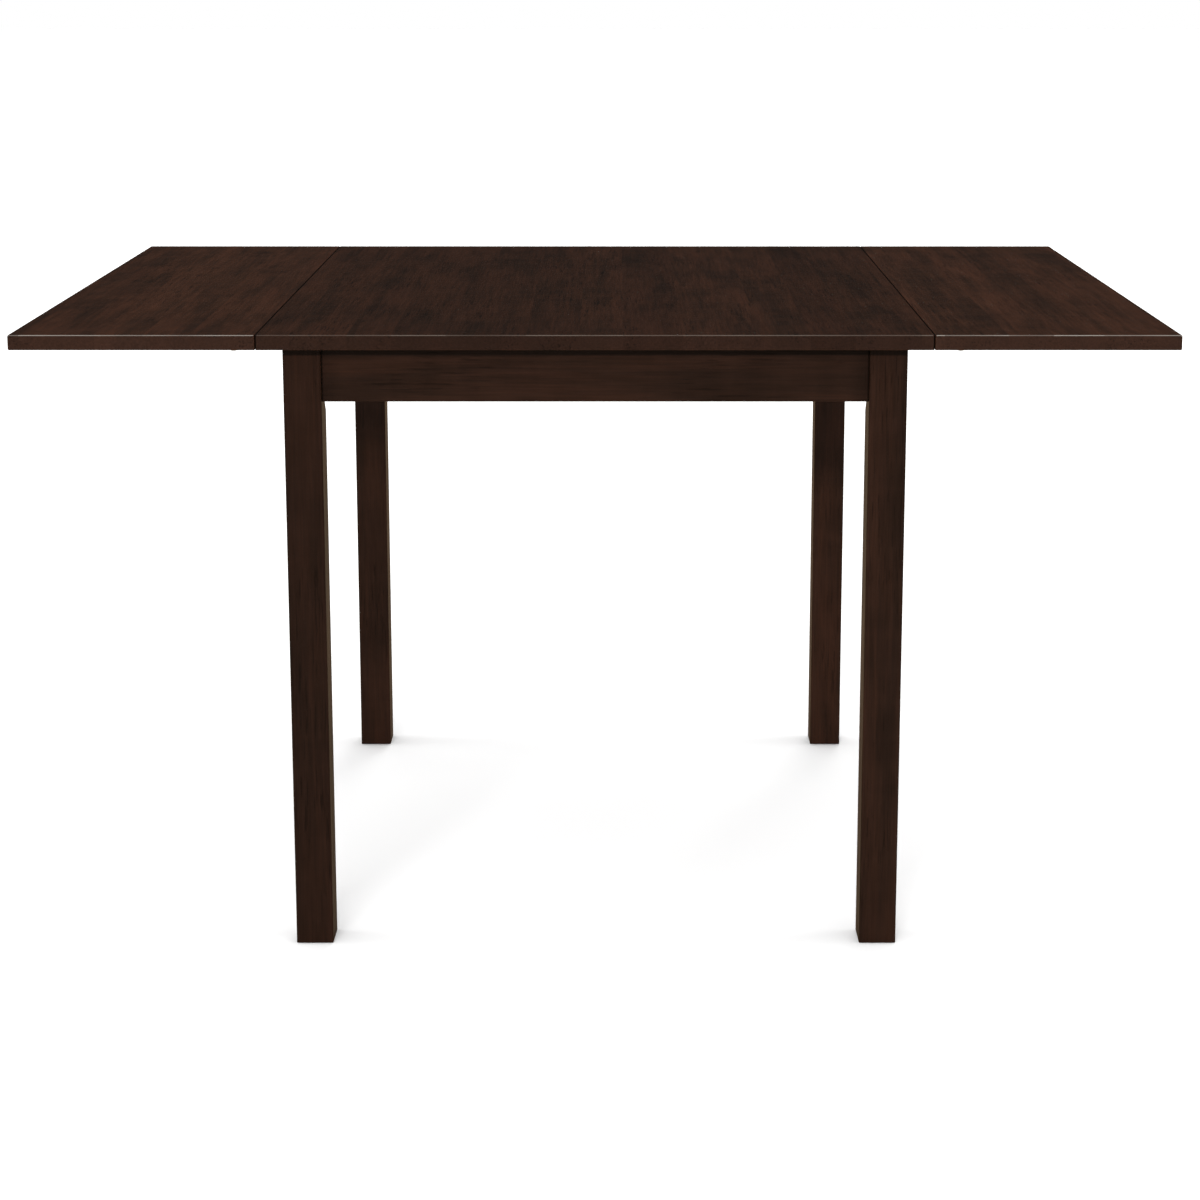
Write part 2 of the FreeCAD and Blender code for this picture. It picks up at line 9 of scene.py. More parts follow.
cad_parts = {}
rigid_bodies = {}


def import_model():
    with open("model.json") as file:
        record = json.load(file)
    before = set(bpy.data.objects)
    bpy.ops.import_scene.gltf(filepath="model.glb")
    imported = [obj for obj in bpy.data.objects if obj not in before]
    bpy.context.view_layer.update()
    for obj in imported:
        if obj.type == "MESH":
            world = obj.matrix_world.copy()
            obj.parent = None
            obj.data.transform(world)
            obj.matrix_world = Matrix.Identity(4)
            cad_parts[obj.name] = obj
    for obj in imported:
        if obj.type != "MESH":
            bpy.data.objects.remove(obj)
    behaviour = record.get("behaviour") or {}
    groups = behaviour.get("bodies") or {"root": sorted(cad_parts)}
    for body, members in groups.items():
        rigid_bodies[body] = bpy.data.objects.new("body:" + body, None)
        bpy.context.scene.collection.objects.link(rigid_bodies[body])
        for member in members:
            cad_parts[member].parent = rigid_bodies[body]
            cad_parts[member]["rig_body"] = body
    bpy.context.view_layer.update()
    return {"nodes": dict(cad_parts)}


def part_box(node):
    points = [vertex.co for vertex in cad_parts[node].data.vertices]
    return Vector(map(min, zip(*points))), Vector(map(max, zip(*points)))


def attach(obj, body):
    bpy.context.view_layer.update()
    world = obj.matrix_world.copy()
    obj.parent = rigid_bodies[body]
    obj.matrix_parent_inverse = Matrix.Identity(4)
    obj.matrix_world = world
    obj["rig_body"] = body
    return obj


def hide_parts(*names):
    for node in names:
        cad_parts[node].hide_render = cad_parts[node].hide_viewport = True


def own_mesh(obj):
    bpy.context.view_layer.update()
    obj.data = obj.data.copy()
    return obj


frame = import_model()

# A drop-leaf dining table in dark stained wood. Everything is in metres, X from leaf to leaf, the
# front at -Y and the floor at Z = 0.

millimetre = 0.001

# The camera, level with the photograph's.
camera_place = (0.026, -3.287, 1.191)
camera_down = math.radians(10.57)
camera_lens = 74.22
camera_shift = (-0.0144, -0.15)

# The dome's light rises from the horizon up, and polished surfaces see a darker one. The lamps, by
# x, y and watts, all point at one place.
dome_light = {"From Min": 0.0, "From Max": 1.0, "To Min": 0.66, "To Max": 1.27}
dome_reflected = {"From Min": 0.60, "From Max": 0.95, "To Min": 0.02, "To Max": 1.4}
lamps = {
    "key": (-2.0, -12.0, 1110),
    "back": (3.0, 12.0, 630),
    "left_side": (-12.0, 1.0, 400),
    "right_side": (12.0, 1.0, 400),
}
lamp_height = 4.45
lamp_size = (5.0, 0.6)
lamp_target = (0, 0, 0.5)

floor_half_side = 40.0
floor_tones = {"low": 0.93, "high": 0.95, "size": 900, "roughness": 0.9}
floor_reflected = (0.27, 0.19, 0.12)

# The stain on the boards of the top, and on the legs and aprons, in linear colours. The edge colour
# is a painted highlight on the eased edges that face up, brightest on the leaves.
top_stain_and_highlight = {
    "deep": (0.0124, 0.0054, 0.0029),
    "mid": (0.0209, 0.0084, 0.0042),
    "red": (0.0332, 0.0121, 0.0060),
    "end": (0.0158, 0.0070, 0.0046),
    "edge": (0.084, 0.066, 0.054),
    "warmth": 0.74,
    "grain": 0.19,
    "fibre": 0.50,
}
# The leaves' edges get a brighter painted highlight.
leaf_stain_and_highlight = dict(top_stain_and_highlight, edge=(0.205, 0.188, 0.168))
frame_stain_and_highlight = {
    "deep": (0.0098, 0.0043, 0.0025),
    "mid": (0.0138, 0.0058, 0.0033),
    "red": (0.0230, 0.0082, 0.0041),
    "end": (0.0138, 0.0058, 0.0033),
    "edge": (0.024, 0.012, 0.008),
    "warmth": 0.60,
    "grain": 0.16,
    "fibre": 0.62,
}

# How light a board is beside its stain, by a part of its name. This is partly painted light: the
# front legs differ by how the light falls, and the back legs and aprons are lightened against the
# shade under the top.
tones_and_painted_light = {
    "_leaf": 1.32,
    "apron": 1.22,
    "leg_front_left": 0.88,
    "leg_front_right": 1.10,
    "leg_back_left": 1.28,
    "leg_back_right": 1.45,
}

# The top's boards are glued up from staves of uneven width, and their seams are dark joints with
# painted shade. The frame has a painted shadow under the top, the aprons painted shade beside the legs.
stave = {"width": 68.0, "uneven": 14.0, "period": 260.0, "shift": 0.61, "low": 0.87, "high": 1.13,
         "seed_step": 0.37}
# Painted shadow and shade, by millimetres from the joint, and their darkest share.
painted_shadow_under_top = {"from": 10.8, "to": 13.0, "shade": 0.45}
painted_shade_beside_leg = {"from": 0.0, "to": 28.0, "shade": 0.72}
painted_shadow_at_leg_joint = {"from": 0.8, "to": 2.4, "shade": 0.35}
seam = {"from": 0.7, "to": 1.5, "shade": 0.15}

# The patterns in the stained wood: their size along and across the grain, in millimetres, and the
# detail, roughness and distortion of their noise. Then the range in which each one acts, and its
# share in the tones, the relief and the sheen.
wood_patterns = {
    "patches": (230, 30, 3.0, 0.5, 0.4),
    "streaks": (160, 5, 3.0, 0.55, 0.2),
    "mottle": (75, 13, 3.0, 0.55, 0.4),
    "bands": (900, 58, 1.0, 0.5, 0.0),
    "figure": (34, 110, 2.0, 0.5, 0.6),
    "clusters": (170, 60, 2.0, 0.5, 0.0),
    "fibres": (42, 2.2, 2.0, 0.5, 0.0),
    "grain": (60, 1.8, 3.0, 0.6, 0.0),
    "pores": (6, 0.5, 2.0, 0.5, 0.0),
}
wood_steps = {
    "warmth": (0.39, 0.65),
    "depth": (0.35, 0.63),
    "clusters": (0.46, 0.60),
    "fibres": (0.57, 0.67),
    "pores": (0.62, 0.74),
    "mottle": (0.3, 0.7),
    "grain": (0.3, 0.7),
}
warmth_shares = {"patches": 0.4, "streaks": 0.25, "mottle": 0.1, "bands": 0.25}
depth_shares = {"figure": 0.4, "mottle": 0.12, "streaks": 0.18, "patches": 0.3}
relief_shares = {"grain": 0.5, "fibre_mask": -0.5, "pore_mask": -0.35}
wood_relief = 0.05
wood_roughness = {"mottle": (0.33, 0.40), "grain": (-0.02, 0.03)}
wood_gloss = 0.12
pore_shade = 0.90
pattern_seeds = (7.13, 3.71, 5.39)
end_grain = (0.7, 0.95, 0.0, 0.75)
# The painted highlight on eased edges: how rounded and how upward an edge is, its patches, and its
# distance from a seam.
painted_highlight_sizes = {"edge": (0.08, 0.24), "upward": (0.1, 0.4), "rub": (260, 3.0, 0.6),
             "rubbed": (0.38, 0.64, 0.35, 1.0), "from": 1.5, "to": 3.0}

# The other finishes. A pattern is the size of its noise on each axis or on all, in millimetres, its
# detail, roughness, distortion and offset. Steps are the range in which it acts, and what it gives
# at each end.
block_wood = {
    "pale": (0.47, 0.31, 0.17),
    "ring": (0.30, 0.17, 0.08),
    "fibre": (0.22, 0.12, 0.055),
    "cloud": (0.36, 0.24, 0.14),
    "cloud_size": 90,
    "cloud_share": 0.35,
    "ring_size": (120, 12, 12),
    "ring_wave": {"Scale": 1.0, "Distortion": 2.5, "Detail": 2.0},
    "ring_steps": (0.2, 0.9),
    "grain": ((40, 1.2, 1.2), 3.0, 0.6),
    "grain_steps": (0.4, 0.75),
    "grain_share": 0.5,
    "roughness": (0.3, 0.7, 0.62, 0.8),
    "relief": 0.12,
    "gloss": 0.3,
}
metal = {
    "brushing": ((14, 0.35, 0.35), 3.0, 0.6),
    "brush_steps": (0.3, 0.7),
    "brush_roughness": (-0.03, 0.04),
    "clouds": (6, 4.0, 0.6),
    "cloud_steps": (0.35, 0.65),
    "cloud_roughness": (-0.03, 0.06),
    "scratches": ((0.25, 9, 3), 2.0, 0.5, 0.0, (3, 1, 2)),
    "scratch_steps": (0.70, 0.78),
    "scratch_roughness": 0.07,
    "edge": (0.78, 0.78, 0.78),
    "edge_steps": (0.03, 0.22),
    "edge_share": 0.5,
    "groove_share": 0.12,
    "relief": 0.02,
}
plastic = {
    "texture_size": 0.4,
    "scuffs": ((5, 1.2, 3), 4.0, 0.7),
    "scuff_steps": (0.56, 0.7, 0.0, 0.5),
    "roughness": (0.4, 0.7, 0.42, 0.62),
    "relief": 0.03,
}


# Materials are node graphs in the space of their own piece, so they stay put when it moves.

class Graph:
    """One material's nodes, with short names for the kinds used here."""

    def __init__(self, name):
        self.material = bpy.data.materials.new(name)
        self.material.use_nodes = True
        self.tree = self.material.node_tree
        self.tree.nodes.clear()
        output = self.tree.nodes.new("ShaderNodeOutputMaterial")
        self.shader = self.tree.nodes.new("ShaderNodeBsdfPrincipled")
        self.tree.links.new(self.shader.outputs["BSDF"], output.inputs["Surface"])
        self.place = self.tree.nodes.new("ShaderNodeTexCoord")
        self.space = self.place.outputs["Object"]

    def turn(self, angle):
        """Turns the patterns about Z."""
        node = self.tree.nodes.new("ShaderNodeVectorRotate")
        node.rotation_type = "Z_AXIS"
        self.feed(node.inputs["Vector"], self.space)
        node.inputs["Angle"].default_value = angle
        self.space = node.outputs["Vector"]

    def staves(self, across, grain, seed):
        """Cuts the patterns into staves, side by side on one axis, and returns each stave's tone."""
        along = self.parts(self.space)[across]
        phase = self.times(along, 2 * math.pi / (stave["period"] * millimetre))
        uneven = self.times(self.maths("SINE", phase), stave["uneven"] / stave["width"])
        count = self.maths("ADD", self.maths("DIVIDE", along, stave["width"] * millimetre), uneven)
        number = self.maths("FLOOR", self.maths("ADD", count, seed))
        shift = [stave["shift"] if axis == grain else 0.0 for axis in range(3)]
        self.space = self.maths("MULTIPLY_ADD", number, shift, self.space, kind="ShaderNodeVectorMath")
        random = self.tree.nodes.new("ShaderNodeTexWhiteNoise")
        random.noise_dimensions = "1D"
        self.feed(random.inputs["W"], number)
        variety = stave["high"] - stave["low"]
        return self.maths("MULTIPLY_ADD", random.outputs["Value"], variety, stave["low"])

    def feed(self, target, value):
        """Sets an input to a value, or links a socket to it."""
        if isinstance(value, bpy.types.NodeSocket):
            self.tree.links.new(value, target)
        else:
            target.default_value = value

    def maths(self, operation, *values, kind="ShaderNodeMath"):
        node = self.tree.nodes.new(kind)
        node.operation = operation
        for target, value in zip(node.inputs, values):
            self.feed(target, value)
        return node.outputs[0]

    def times(self, first, second):
        return self.maths("MULTIPLY", first, second)

    def blend(self, values, shares):
        """The sum of some named values, each times its share."""
        total = 0.0
        for name, share in shares.items():
            total = self.maths("MULTIPLY_ADD", values[name], share, total)
        return total

    def sized(self, size, offset=(0, 0, 0)):
        """Coordinates in which one unit is the size, in millimetres, on each axis or on all."""
        sides = size if isinstance(size, (tuple, list)) else (size, size, size)
        node = self.tree.nodes.new("ShaderNodeMapping")
        self.tree.links.new(self.space, node.inputs["Vector"])
        node.inputs["Location"].default_value = offset
        node.inputs["Scale"].default_value = [1 / (side * millimetre) for side in sides]
        return node.outputs["Vector"]

    def noise(self, size, detail=2.0, roughness=0.5, distortion=0.0, offset=(0, 0, 0)):
        node = self.tree.nodes.new("ShaderNodeTexNoise")
        node.inputs["Scale"].default_value = 1.0
        node.inputs["Detail"].default_value = detail
        node.inputs["Roughness"].default_value = roughness
        node.inputs["Distortion"].default_value = distortion
        self.tree.links.new(self.sized(size, offset), node.inputs["Vector"])
        return node.outputs["Fac"]

    def span(self, value, low, high, to_low=0.0, to_high=1.0):
        """A smooth step of a value from one range to another."""
        node = self.tree.nodes.new("ShaderNodeMapRange")
        node.interpolation_type = "SMOOTHSTEP"
        for target, number in zip(node.inputs, (value, low, high, to_low, to_high)):
            self.feed(target, number)
        return node.outputs[0]

    def by_distance(self, distance, size, near=0.0):
        """A smooth step from a value up to 1, over the millimetres of a size's from and to."""
        return self.span(distance, size["from"] * millimetre, size["to"] * millimetre, near, 1.0)

    def mixed(self, share, first, second):
        node = self.tree.nodes.new("ShaderNodeMix")
        node.data_type = "RGBA"
        colours = [socket for socket in node.inputs if socket.type == "RGBA"]
        self.feed(node.inputs["Factor"], share)
        for target, colour in zip(colours, (first, second)):
            self.feed(target, colour + (1.0,) if isinstance(colour, tuple) else colour)
        return next(socket for socket in node.outputs if socket.type == "RGBA")

    def parts(self, vector):
        node = self.tree.nodes.new("ShaderNodeSeparateXYZ")
        self.tree.links.new(vector, node.inputs[0])
        return node.outputs

    def facing(self, axis):
        """How squarely the surface faces along an axis, either way."""
        return self.maths("ABSOLUTE", self.parts(self.place.outputs["Normal"])[axis])

    def edges(self, low, high):
        """A mask of the rounded edges, where the surface faces none of the three axes."""
        most = self.facing(0)
        for axis in (1, 2):
            most = self.maths("MAXIMUM", most, self.facing(axis))
        return self.span(self.maths("SUBTRACT", 1.0, most), low, high)

    def raised(self, height, depth):
        """Feeds a height to the shader as a bump. A height of 1 is a depth in millimetres."""
        node = self.tree.nodes.new("ShaderNodeBump")
        node.inputs["Distance"].default_value = depth * millimetre
        self.feed(node.inputs["Height"], height)
        self.tree.links.new(node.outputs["Normal"], self.shader.inputs["Normal"])

    def finish(self, colour, roughness, metallic=0.0, specular=0.5):
        self.feed(self.shader.inputs["Base Color"], colour)
        self.feed(self.shader.inputs["Roughness"], roughness)
        self.shader.inputs["Metallic"].default_value = metallic
        self.shader.inputs["Specular IOR Level"].default_value = specular
        return self.material


def from_seam(graph):
    """How far a point of the top is from the nearer seam."""
    across = graph.maths("ABSOLUTE", graph.parts(graph.place.outputs["Object"])[0])
    return graph.maths("ABSOLUTE", graph.maths("SUBTRACT", across, seam_at))


def painted_joint_shade(graph, board, axis):
    """Painted shade on a board where it meets the others; at a seam also the joint's own dark line."""
    place = graph.parts(graph.place.outputs["Object"])
    if board in top_boards:
        joints = [(from_seam(graph), seam)]
    else:
        joints = [(graph.maths("SUBTRACT", frame_top, place[2]), painted_shadow_under_top)]
    if board.startswith("apron"):
        from_end = graph.maths("SUBTRACT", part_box(board)[1][axis], graph.maths("ABSOLUTE", place[axis]))
        joints += [(from_end, painted_shade_beside_leg), (from_end, painted_shadow_at_leg_joint)]
    shade = 1.0
    for distance, size in joints:
        shade = graph.times(shade, graph.by_distance(distance, size, size["shade"]))
    return shade


def painted_highlight_mask(graph, in_top, offset):
    """A mask of painted highlight on the eased edges that look up, in patches; not on a seam's edges."""
    rub = graph.noise(*painted_highlight_sizes["rub"], offset=offset)
    highlight = graph.times(graph.edges(*painted_highlight_sizes["edge"]), graph.span(rub, *painted_highlight_sizes["rubbed"]))
    upward = graph.parts(graph.place.outputs["Normal"])[2]
    highlight = graph.times(highlight, graph.span(upward, *painted_highlight_sizes["upward"]))
    return graph.times(highlight, graph.by_distance(from_seam(graph), painted_highlight_sizes)) if in_top else highlight


def stained_wood(board, axis, seed, tone):
    """Dark stained wood: warm patches, cross figure, sparse dark fibres, fine grain and pores, even
    ends, painted shade at the joints and a painted highlight on eased edges. A top board has staves."""
    graph = Graph("stained_" + board)
    in_top = board in top_boards
    stain = next((stain for part, stain in stains.items() if part in board), frame_stain_and_highlight)
    offset = [seed * step for step in pattern_seeds]
    staves_and_painted_shade = painted_joint_shade(graph, board, axis)
    if in_top:
        staves_and_painted_shade = graph.times(staves_and_painted_shade, graph.staves(0, axis, seed * stave["seed_step"]))

    value = {}
    for name, (along, across, *shape) in wood_patterns.items():
        size = [along if i == axis else across for i in range(3)]
        value[name] = graph.noise(size, *shape, offset)
    value["warmth"] = graph.blend(value, warmth_shares)
    value["depth"] = graph.blend(value, depth_shares)

    def step(name, *to):
        return graph.span(value[name], *wood_steps[name], *to)

    value["fibre_mask"] = graph.times(step("fibres"), step("clusters"))
    value["pore_mask"] = step("pores")

    colour = graph.mixed(step("depth"), stain["deep"], stain["mid"])
    colour = graph.mixed(graph.times(step("warmth"), stain["warmth"]), colour, stain["red"])
    colour = graph.mixed(graph.span(graph.facing(axis), *end_grain), colour, stain["end"])
    shade = step("grain", tone * (1 - stain["grain"]), tone * (1 + stain["grain"]))
    for mask, darkest in (("fibre_mask", stain["fibre"]), ("pore_mask", pore_shade)):
        shade = graph.times(shade, graph.span(value[mask], 0.0, 1.0, 1.0, darkest))
    # Painted shade at the joints, and the staves' tones.
    shade = graph.times(shade, staves_and_painted_shade)
    shaded = graph.maths("MULTIPLY", colour, shade, kind="ShaderNodeVectorMath")
    # The eased edges that look up get a painted highlight in the edge colour.
    colour = graph.mixed(painted_highlight_mask(graph, in_top, offset), shaded, stain["edge"])

    graph.raised(graph.blend(value, relief_shares), wood_relief)
    roughness = graph.maths("ADD", *(step(name, *to) for name, to in wood_roughness.items()))
    return graph.finish(colour, roughness, specular=wood_gloss)


def raw_wood(name, angle):
    """Unstained softwood for the corner blocks, with growth rings. Its grain lies at an angle to X."""
    graph = Graph(name)
    graph.turn(-angle)
    wood = block_wood
    clouds = graph.noise(wood["cloud_size"])
    rings = graph.tree.nodes.new("ShaderNodeTexWave")
    rings.wave_type = "RINGS"
    rings.rings_direction = "X"
    for socket, number in wood["ring_wave"].items():
        rings.inputs[socket].default_value = number
    graph.tree.links.new(graph.sized(wood["ring_size"]), rings.inputs["Vector"])
    grain = graph.noise(*wood["grain"])
    ringed = graph.span(rings.outputs["Fac"], *wood["ring_steps"])
    colour = graph.mixed(ringed, wood["pale"], wood["ring"])
    fibres = graph.times(graph.span(grain, *wood["grain_steps"]), wood["grain_share"])
    colour = graph.mixed(fibres, colour, wood["fibre"])
    colour = graph.mixed(graph.times(clouds, wood["cloud_share"]), colour, wood["cloud"])
    graph.raised(grain, wood["relief"])
    return graph.finish(colour, graph.span(grain, *wood["roughness"]), specular=wood["gloss"])


def plated_metal(name, colour, shade, roughness):
    """Plated or polished steel: brushing, faint cloudy plating, burnished edges and fine scratches."""
    graph = Graph(name)
    brushing = graph.noise(*metal["brushing"])
    clouds = graph.noise(*metal["clouds"])
    scratches = graph.span(graph.noise(*metal["scratches"]), *metal["scratch_steps"])
    tone = graph.mixed(graph.span(clouds, *metal["cloud_steps"]), colour, shade)
    burnished = graph.times(graph.edges(*metal["edge_steps"]), metal["edge_share"])
    tone = graph.mixed(burnished, tone, metal["edge"])
    brushed = [roughness + change for change in metal["brush_roughness"]]
    matt = graph.maths("ADD", graph.span(brushing, *metal["brush_steps"], *brushed),
                       graph.span(clouds, *metal["cloud_steps"], *metal["cloud_roughness"]))
    matt = graph.maths("MULTIPLY_ADD", scratches, metal["scratch_roughness"], matt)
    grooves = graph.times(graph.maths("SUBTRACT", brushing, scratches), metal["groove_share"])
    graph.raised(grooves, metal["relief"])
    return graph.finish(tone, matt, metallic=1.0)


def moulded_plastic(name, colour, scuffed):
    """Smooth plastic with a fine texture, lighter and rougher where it is scuffed."""
    graph = Graph(name)
    texture = graph.noise(plastic["texture_size"])
    scuffs = graph.noise(*plastic["scuffs"])
    tone = graph.mixed(graph.span(scuffs, *plastic["scuff_steps"]), colour, scuffed)
    graph.raised(texture, plastic["relief"])
    return graph.finish(tone, graph.span(scuffs, *plastic["roughness"]))


# The finish of each piece, and the axis of each board's grain.

slot_of = {name: node.material_slots[0].material.name for name, node in frame["nodes"].items()}

# Each quarter of the table: its name, its leaf, and its signs along X and Y.
sides = {"left": -1, "right": 1}
ends = {"front": -1, "back": 1}
quarters = [(end + "_" + side, side + "_leaf", sides[side], ends[end]) for side in sides for end in ends]


def give(node, material):
    frame["nodes"][node].material_slots[0].material = material


top_boards = ("centre_top", "left_leaf", "right_leaf")
board_grain = dict.fromkeys(top_boards, "Y")
board_grain.update({"apron_front": "X", "apron_back": "X", "apron_left": "Y", "apron_right": "Y"})
board_grain.update({f"leg_{end}_{side}": "Z" for end in ends for side in sides})
stains = {"_leaf": leaf_stain_and_highlight, "centre_top": top_stain_and_highlight}
seam_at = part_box("centre_top")[1].x
frame_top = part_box("centre_top")[0].z
for seed, (board, axis) in enumerate(board_grain.items(), start=1):
    # Each board's tone, partly painted light for how light falls on it.
    tone = next((tone for part, tone in tones_and_painted_light.items() if part in board), 1.0)
    give(board, stained_wood(board, "XYZ".index(axis), seed, tone))
for name, _, side, end in quarters:
    give("corner_block_" + name, raw_wood("raw_corner_block_" + name, -side * end * math.pi / 4))

# Each plated metal's colour, the colour of its clouds and its roughness.
plated = {
    "zinc_fastener": ("zinc_plate", (0.60, 0.61, 0.63), (0.48, 0.49, 0.50), 0.34),
    "bracket_steel": ("bracket_plate", (0.56, 0.56, 0.57), (0.42, 0.42, 0.44), 0.38),
    "stay_steel": ("stay_plate", (0.60, 0.60, 0.61), (0.47, 0.47, 0.49), 0.32),
    "rivet_steel": ("rivet_steel_finish", (0.64, 0.64, 0.65), (0.50, 0.50, 0.52), 0.28),
    "spring_steel": ("blued_spring", (0.30, 0.29, 0.28), (0.20, 0.20, 0.22), 0.30),
}
slot_finish = {slot: plated_metal(*finish) for slot, finish in plated.items()}
slot_finish["glide_plastic"] = moulded_plastic("brown_nylon", (0.035, 0.028, 0.024), (0.16, 0.14, 0.12))
for node, slot in slot_of.items():
    if slot in slot_finish:
        give(node, slot_finish[slot])


# Finely made metalwork in place of the plain solids. Each piece is placed by the solids that it
# replaces and rides on their body. Its own sizes are in millimetres.

long_screw = {"head": 3.9, "head_height": 2.2, "shank": 2.0, "pitch": 2.2, "plain": 7.0}
short_screw = {"head": 3.2, "head_height": 1.6, "shank": 1.7, "pitch": 1.5, "plain": 2.2}
screw = {"core_share": 0.70, "rim": 0.15, "rim_edge": 0.1, "rim_height": 0.12, "neck_share": 0.92,
         "run_in": 0.3, "tip": 0.15}
cross = {"reach_share": 0.58, "width_share": 0.17, "depth_share": 0.62, "foot_share": 0.72}
bolt = {"radius": 4.0, "outside": 39.1, "pitch": 1.25, "thread_depth": 0.62, "run_in": 0.6,
        "wood_pitch": 2.8, "wood_depth": 0.9, "point_share": 0.3, "point_length": 9.0,
        "end_share": 0.8, "end_length": 6.0}
nut = {"radius": 7.5, "hole": 4.05, "chamfer": 1.0, "chamfer_steps": 4, "face_share": 0.97,
       "bore_edge": 0.4}
washer = {"radius": 10.0, "hole": 4.5, "edge": 0.25}
rivet = {"radius": 3.0, "head": 4.8, "head_height": 1.4}
catch_rivet = {"radius": 1.6, "head": 2.8, "head_height": 0.8}
hinge_pin = {"radius": 1.5, "head": 2.3, "head_height": 0.8}
glide = {"radius": 10.0, "foot": 8.6, "rise_share": 0.7, "height": 4.0, "nail": 1.25,
         "nail_point": 0.4, "point_length": 3.0}
strap_radius = 7.0
link_head_radius = 13.0
ear_radius = {"apron": 8.0, "leaf": 7.0}
pivot_hole = 3.05
rivet_fit = 0.05
short_rivet_limit = 6.0
stud = {"radius": 2.0, "hole": 2.15, "from_knuckle": 9.5, "tip": 0.5}
catch = {"thickness": 0.8, "radius": 4.5, "stud_rise": 5.8, "tab": 7.0, "tab_from": 10.3,
         "tab_length": 9.2, "tab_aside": 4.45, "tab_corner": 2.5}
hinge_thickness = 1.6
bracket_thickness = 2.5
plate_edge = 0.25
plate_corner = 3.0
bend_radius = 1.0
bracket_foot_corner = 1.25
block = {"thickness": 22.0, "edge": 0.6, "edge_steps": 2, "edge_profile": 0.5, "bolt_hole": 4.5,
         "screw_fit": 0.05, "screw_reach": 60.0}
knuckle = {"inner": 1.55, "outer": 2.8, "clear": 3.1, "count": 3, "gap": 0.2, "roll": 297.0,
           "root": 4.2, "edge": 0.15, "corner": 0.6}

# The radii of a countersunk hole in a plate, near and far.
countersink = (3.25, 1.8)

round_sides = 40
thread_sides = 20
thread_steps = 7
arc_sides = 48
dome_steps = 6
bend_steps = 8

# A wood thread is this much sharper than a machine thread. A screw's tip narrows over this many
# times its radius.
wood_thread = 3.0
tip_length_share = 3

# Corners this near are one, and so are a cut and a corner. Smaller angles are shaded smooth.
joined_within = 0.001
cut_within = 0.0001
sharp_from = math.radians(38)


def solids_of(node):
    """The corners of each separate solid in a CAD node, in metres."""
    form = bmesh.new()
    form.from_mesh(frame["nodes"][node].data)
    bmesh.ops.remove_doubles(form, verts=form.verts, dist=joined_within * millimetre)
    seen = set()
    found = []
    for first in form.verts:
        if first in seen:
            continue
        seen.add(first)
        reached = [first]
        for corner in reached:
            for edge in corner.link_edges:
                other = edge.other_vert(corner)
                if other not in seen:
                    seen.add(other)
                    reached.append(other)
        found.append([corner.co.copy() for corner in reached])
    form.free()
    return found


def lie_of(corners, axis=None):
    """Where a turned solid lies: the middle of its start, its direction and its length in
    millimetres. With no axis given it is a long solid, and its start is the wider end."""
    points = numpy.array(corners)
    centre = points.mean(axis=0)
    direction = numpy.linalg.svd(points - centre)[2][0] if axis is None else numpy.array(axis)
    along = (points - centre) @ direction
    aside = numpy.linalg.norm(points - centre - numpy.outer(along, direction), axis=1)
    middle = (along.min() + along.max()) / 2
    if axis is None and aside[along > middle].max() > aside[along < middle].max():
        direction, along = -direction, -along
    start = Vector(centre + direction * along.min())
    return start, Vector(direction), (along.max() - along.min()) / millimetre


def basis(origin, u, v, w):
    """A placing of local millimetres (u, v, w) at an origin in metres."""
    columns = [Vector(axis) * millimetre for axis in (u, v, w)] + [Vector(origin)]
    return Matrix([[column[i] for column in columns] for i in range(3)] + [[0, 0, 0, 1]])


def upright(start, direction):
    """A placing whose w runs from a start along a direction."""
    turn = direction.to_track_quat("Z", "Y").to_matrix()
    return basis(start, turn.col[0], turn.col[1], turn.col[2])


def around(radius, turn, w, u=0.0, v=0.0):
    return (u + radius * math.cos(turn), v + radius * math.sin(turn), w)


def circle(radius, w, sides=round_sides, u=0.0, v=0.0):
    return [around(radius, 2 * math.pi * i / sides, w, u, v) for i in range(sides)]


def rings_of(outline, sides=round_sides):
    """Round rings from (distance, radius) pairs."""
    return [circle(radius, w, sides) for w, radius in outline]


def skin(form, rings, *ends):
    """Adds a skin through rings of points, with as many points each, and closes the ends named."""
    rows = [[form.verts.new(point) for point in ring] for ring in rings]
    for near, far in zip(rows, rows[1:]):
        for i in range(len(near)):
            form.faces.new((near[i - 1], near[i], far[i], far[i - 1]))
    for end in ends:
        form.faces.new(rows[end])
    return rows


def fill(form, rows):
    """Closes the flat space that some rows of corners bound."""
    rims = [form.edges.get((row[i - 1], row[i])) for row in rows for i in range(len(row))]
    bmesh.ops.triangle_fill(form, use_beauty=True, edges=rims)


def solid(rings):
    """A closed form through rings of points."""
    form = bmesh.new()
    skin(form, rings, 0, -1)
    return form


def bored(outside, bores):
    """A closed form between an outer skin and the bores through it, each given by its rings."""
    form = bmesh.new()
    skins = [skin(form, rings) for rings in [outside] + bores]
    for end in (0, -1):
        fill(form, [rows[end] for rows in skins])
    return form


def turned(outline):
    """A closed turned form from (distance, radius) pairs."""
    return solid(rings_of(outline))


def domed(head, height, start, towards):
    """Half a domed head's outline, from its crown to its rim. Towards is 1 where the rim comes last."""
    turns = [math.pi / 2 * (k + 0.5) / (dome_steps + 0.5) for k in range(dome_steps + 1)]
    arc = [(start - towards * height * math.cos(t), head * math.sin(t)) for t in turns]
    return arc if towards > 0 else arc[::-1]


def headed(size, length, both=True):
    """A rivet or pin whose length counts its domed heads."""
    head, low = size["head"], size["head_height"]
    high = length - (low if both else 0.0)
    outline = domed(head, low, low, 1) + [(low, size["radius"]), (high, size["radius"])]
    return turned(outline + (domed(head, low, high, -1) if both else []))


